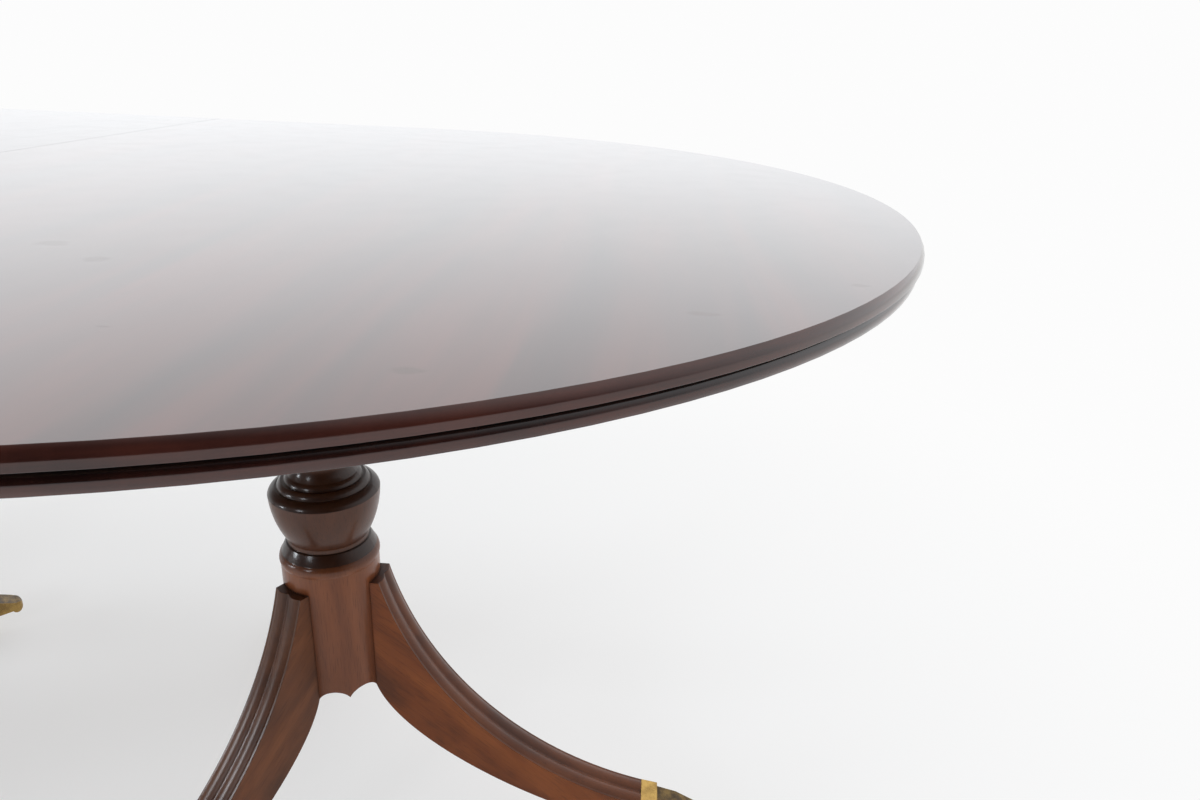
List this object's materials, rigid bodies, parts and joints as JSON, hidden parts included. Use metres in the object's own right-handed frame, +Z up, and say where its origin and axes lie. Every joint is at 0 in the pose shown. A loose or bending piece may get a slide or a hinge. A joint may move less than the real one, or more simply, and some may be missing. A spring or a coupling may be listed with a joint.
{
  "type": "pedestal dining table",
  "caption": "Long sectional dining table with half round reeded ends, turned urn columns and sabre legs on brass toe caps and castors.",
  "frame": {"origin": "on the floor under the axis of the middle column", "axes": "+X along the table to the pictured end, +Y across it, +Z up"},
  "size_m": [2.9494, 1.121, 0.762],
  "materials": {
    "mahogany": "french polished",
    "secondary_wood": "oiled",
    "brass": "polished",
    "wrought_iron": "blackened",
    "screw_steel": "dull"
  },
  "bodies": {
    "centre_unit": {"centre_bearers": "secondary_wood", "centre_column": "mahogany", "centre_fork_sockets": "brass", "centre_leg_1": "mahogany", "centre_leg_2": "mahogany", "centre_leg_3": "mahogany", "centre_leg_4": "mahogany", "centre_pillar_block": "secondary_wood", "centre_screws": "screw_steel", "centre_spider_plate": "wrought_iron", "centre_toe_caps": "brass", "centre_top": "mahogany"},
    "right_unit": {"right_bearers": "secondary_wood", "right_column": "mahogany", "right_fork_guides": "brass", "right_joint_pegs": "secondary_wood", "right_leg_1": "mahogany", "right_leg_2": "mahogany", "right_leg_3": "mahogany", "right_pillar_block": "secondary_wood", "right_screws": "screw_steel", "right_spider_plate": "wrought_iron", "right_toe_caps": "brass", "right_top": "mahogany"},
    "left_unit": {"left_bearers": "secondary_wood", "left_column": "mahogany", "left_fork_guides": "brass", "left_joint_pegs": "secondary_wood", "left_leg_1": "mahogany", "left_leg_2": "mahogany", "left_leg_3": "mahogany", "left_pillar_block": "secondary_wood", "left_screws": "screw_steel", "left_spider_plate": "wrought_iron", "left_toe_caps": "brass", "left_top": "mahogany"},
    "centre_castor_horn_1": {"centre_castor_horn_1": "brass"},
    "centre_castor_horn_2": {"centre_castor_horn_2": "brass"},
    "centre_castor_horn_3": {"centre_castor_horn_3": "brass"},
    "centre_castor_horn_4": {"centre_castor_horn_4": "brass"},
    "centre_castor_wheel_1": {"centre_castor_wheel_1": "brass"},
    "centre_castor_wheel_2": {"centre_castor_wheel_2": "brass"},
    "centre_castor_wheel_3": {"centre_castor_wheel_3": "brass"},
    "centre_castor_wheel_4": {"centre_castor_wheel_4": "brass"},
    "left_castor_horn_1": {"left_castor_horn_1": "brass"},
    "left_castor_horn_2": {"left_castor_horn_2": "brass"},
    "left_castor_horn_3": {"left_castor_horn_3": "brass"},
    "left_castor_wheel_1": {"left_castor_wheel_1": "brass"},
    "left_castor_wheel_2": {"left_castor_wheel_2": "brass"},
    "left_castor_wheel_3": {"left_castor_wheel_3": "brass"},
    "left_fork_1": {"left_fork_1": "brass"},
    "left_fork_2": {"left_fork_2": "brass"},
    "right_castor_horn_1": {"right_castor_horn_1": "brass"},
    "right_castor_horn_2": {"right_castor_horn_2": "brass"},
    "right_castor_horn_3": {"right_castor_horn_3": "brass"},
    "right_castor_wheel_1": {"right_castor_wheel_1": "brass"},
    "right_castor_wheel_2": {"right_castor_wheel_2": "brass"},
    "right_castor_wheel_3": {"right_castor_wheel_3": "brass"},
    "right_fork_1": {"right_fork_1": "brass"},
    "right_fork_2": {"right_fork_2": "brass"}
  },
  "joints": [
    {"name": "right_unit_pull", "type": "slide", "parent": "centre_unit", "child": "right_unit", "axis": [1, 0, 0], "range_m": [0, 0.6]},
    {"name": "right_fork_1_slide", "type": "slide", "parent": "right_unit", "child": "right_fork_1", "axis": [1, 0, 0], "range_m": [0, 0.044]},
    {"name": "right_fork_2_slide", "type": "slide", "parent": "right_unit", "child": "right_fork_2", "axis": [1, 0, 0], "range_m": [0, 0.044]},
    {"name": "left_unit_pull", "type": "slide", "parent": "centre_unit", "child": "left_unit", "axis": [-1, 0, 0], "range_m": [0, 0.6]},
    {"name": "left_fork_1_slide", "type": "slide", "parent": "left_unit", "child": "left_fork_1", "axis": [-1, 0, 0], "range_m": [0, 0.044]},
    {"name": "left_fork_2_slide", "type": "slide", "parent": "left_unit", "child": "left_fork_2", "axis": [-1, 0, 0], "range_m": [0, 0.044]},
    {"name": "centre_castor_1_swivel", "type": "hinge", "parent": "centre_unit", "child": "centre_castor_horn_1", "pos_m": [0.27096, 0.27096, 0.0297], "axis": [0, 0, 1], "continuous": true},
    {"name": "centre_castor_1_roll", "type": "hinge", "parent": "centre_castor_horn_1", "child": "centre_castor_wheel_1", "pos_m": [0.26389, 0.26389, 0.015], "axis": [-0.7071, 0.7071, 0], "continuous": true},
    {"name": "centre_castor_2_swivel", "type": "hinge", "parent": "centre_unit", "child": "centre_castor_horn_2", "pos_m": [-0.27096, 0.27096, 0.0297], "axis": [0, 0, 1], "continuous": true},
    {"name": "centre_castor_2_roll", "type": "hinge", "parent": "centre_castor_horn_2", "child": "centre_castor_wheel_2", "pos_m": [-0.26389, 0.26389, 0.015], "axis": [-0.7071, -0.7071, 0], "continuous": true},
    {"name": "centre_castor_3_swivel", "type": "hinge", "parent": "centre_unit", "child": "centre_castor_horn_3", "pos_m": [-0.27096, -0.27096, 0.0297], "axis": [0, 0, 1], "continuous": true},
    {"name": "centre_castor_3_roll", "type": "hinge", "parent": "centre_castor_horn_3", "child": "centre_castor_wheel_3", "pos_m": [-0.26389, -0.26389, 0.015], "axis": [0.7071, -0.7071, 0], "continuous": true},
    {"name": "centre_castor_4_swivel", "type": "hinge", "parent": "centre_unit", "child": "centre_castor_horn_4", "pos_m": [0.27096, -0.27096, 0.0297], "axis": [0, 0, 1], "continuous": true},
    {"name": "centre_castor_4_roll", "type": "hinge", "parent": "centre_castor_horn_4", "child": "centre_castor_wheel_4", "pos_m": [0.26389, -0.26389, 0.015], "axis": [0.7071, 0.7071, 0], "continuous": true},
    {"name": "right_castor_1_swivel", "type": "hinge", "parent": "right_unit", "child": "right_castor_horn_1", "pos_m": [1.321, 0, 0.0297], "axis": [0, 0, 1], "continuous": true},
    {"name": "right_castor_1_roll", "type": "hinge", "parent": "right_castor_horn_1", "child": "right_castor_wheel_1", "pos_m": [1.311, 0, 0.015], "axis": [0, 1, 0], "continuous": true},
    {"name": "right_castor_2_swivel", "type": "hinge", "parent": "right_unit", "child": "right_castor_horn_2", "pos_m": [0.7462, 0.33186, 0.0297], "axis": [0, 0, 1], "continuous": true},
    {"name": "right_castor_2_roll", "type": "hinge", "parent": "right_castor_horn_2", "child": "right_castor_wheel_2", "pos_m": [0.7512, 0.3232, 0.015], "axis": [-0.866, -0.5, 0], "continuous": true},
    {"name": "right_castor_3_swivel", "type": "hinge", "parent": "right_unit", "child": "right_castor_horn_3", "pos_m": [0.7462, -0.33186, 0.0297], "axis": [0, 0, 1], "continuous": true},
    {"name": "right_castor_3_roll", "type": "hinge", "parent": "right_castor_horn_3", "child": "right_castor_wheel_3", "pos_m": [0.7512, -0.3232, 0.015], "axis": [0.866, -0.5, 0], "continuous": true},
    {"name": "left_castor_1_swivel", "type": "hinge", "parent": "left_unit", "child": "left_castor_horn_1", "pos_m": [-1.321, 0, 0.0297], "axis": [0, 0, 1], "continuous": true},
    {"name": "left_castor_1_roll", "type": "hinge", "parent": "left_castor_horn_1", "child": "left_castor_wheel_1", "pos_m": [-1.311, 0, 0.015], "axis": [0, -1, 0], "continuous": true},
    {"name": "left_castor_2_swivel", "type": "hinge", "parent": "left_unit", "child": "left_castor_horn_2", "pos_m": [-0.7462, -0.33186, 0.0297], "axis": [0, 0, 1], "continuous": true},
    {"name": "left_castor_2_roll", "type": "hinge", "parent": "left_castor_horn_2", "child": "left_castor_wheel_2", "pos_m": [-0.7512, -0.3232, 0.015], "axis": [0.866, 0.5, 0], "continuous": true},
    {"name": "left_castor_3_swivel", "type": "hinge", "parent": "left_unit", "child": "left_castor_horn_3", "pos_m": [-0.7462, 0.33186, 0.0297], "axis": [0, 0, 1], "continuous": true},
    {"name": "left_castor_3_roll", "type": "hinge", "parent": "left_castor_horn_3", "child": "left_castor_wheel_3", "pos_m": [-0.7512, 0.3232, 0.015], "axis": [-0.866, 0.5, 0], "continuous": true}
  ]
}
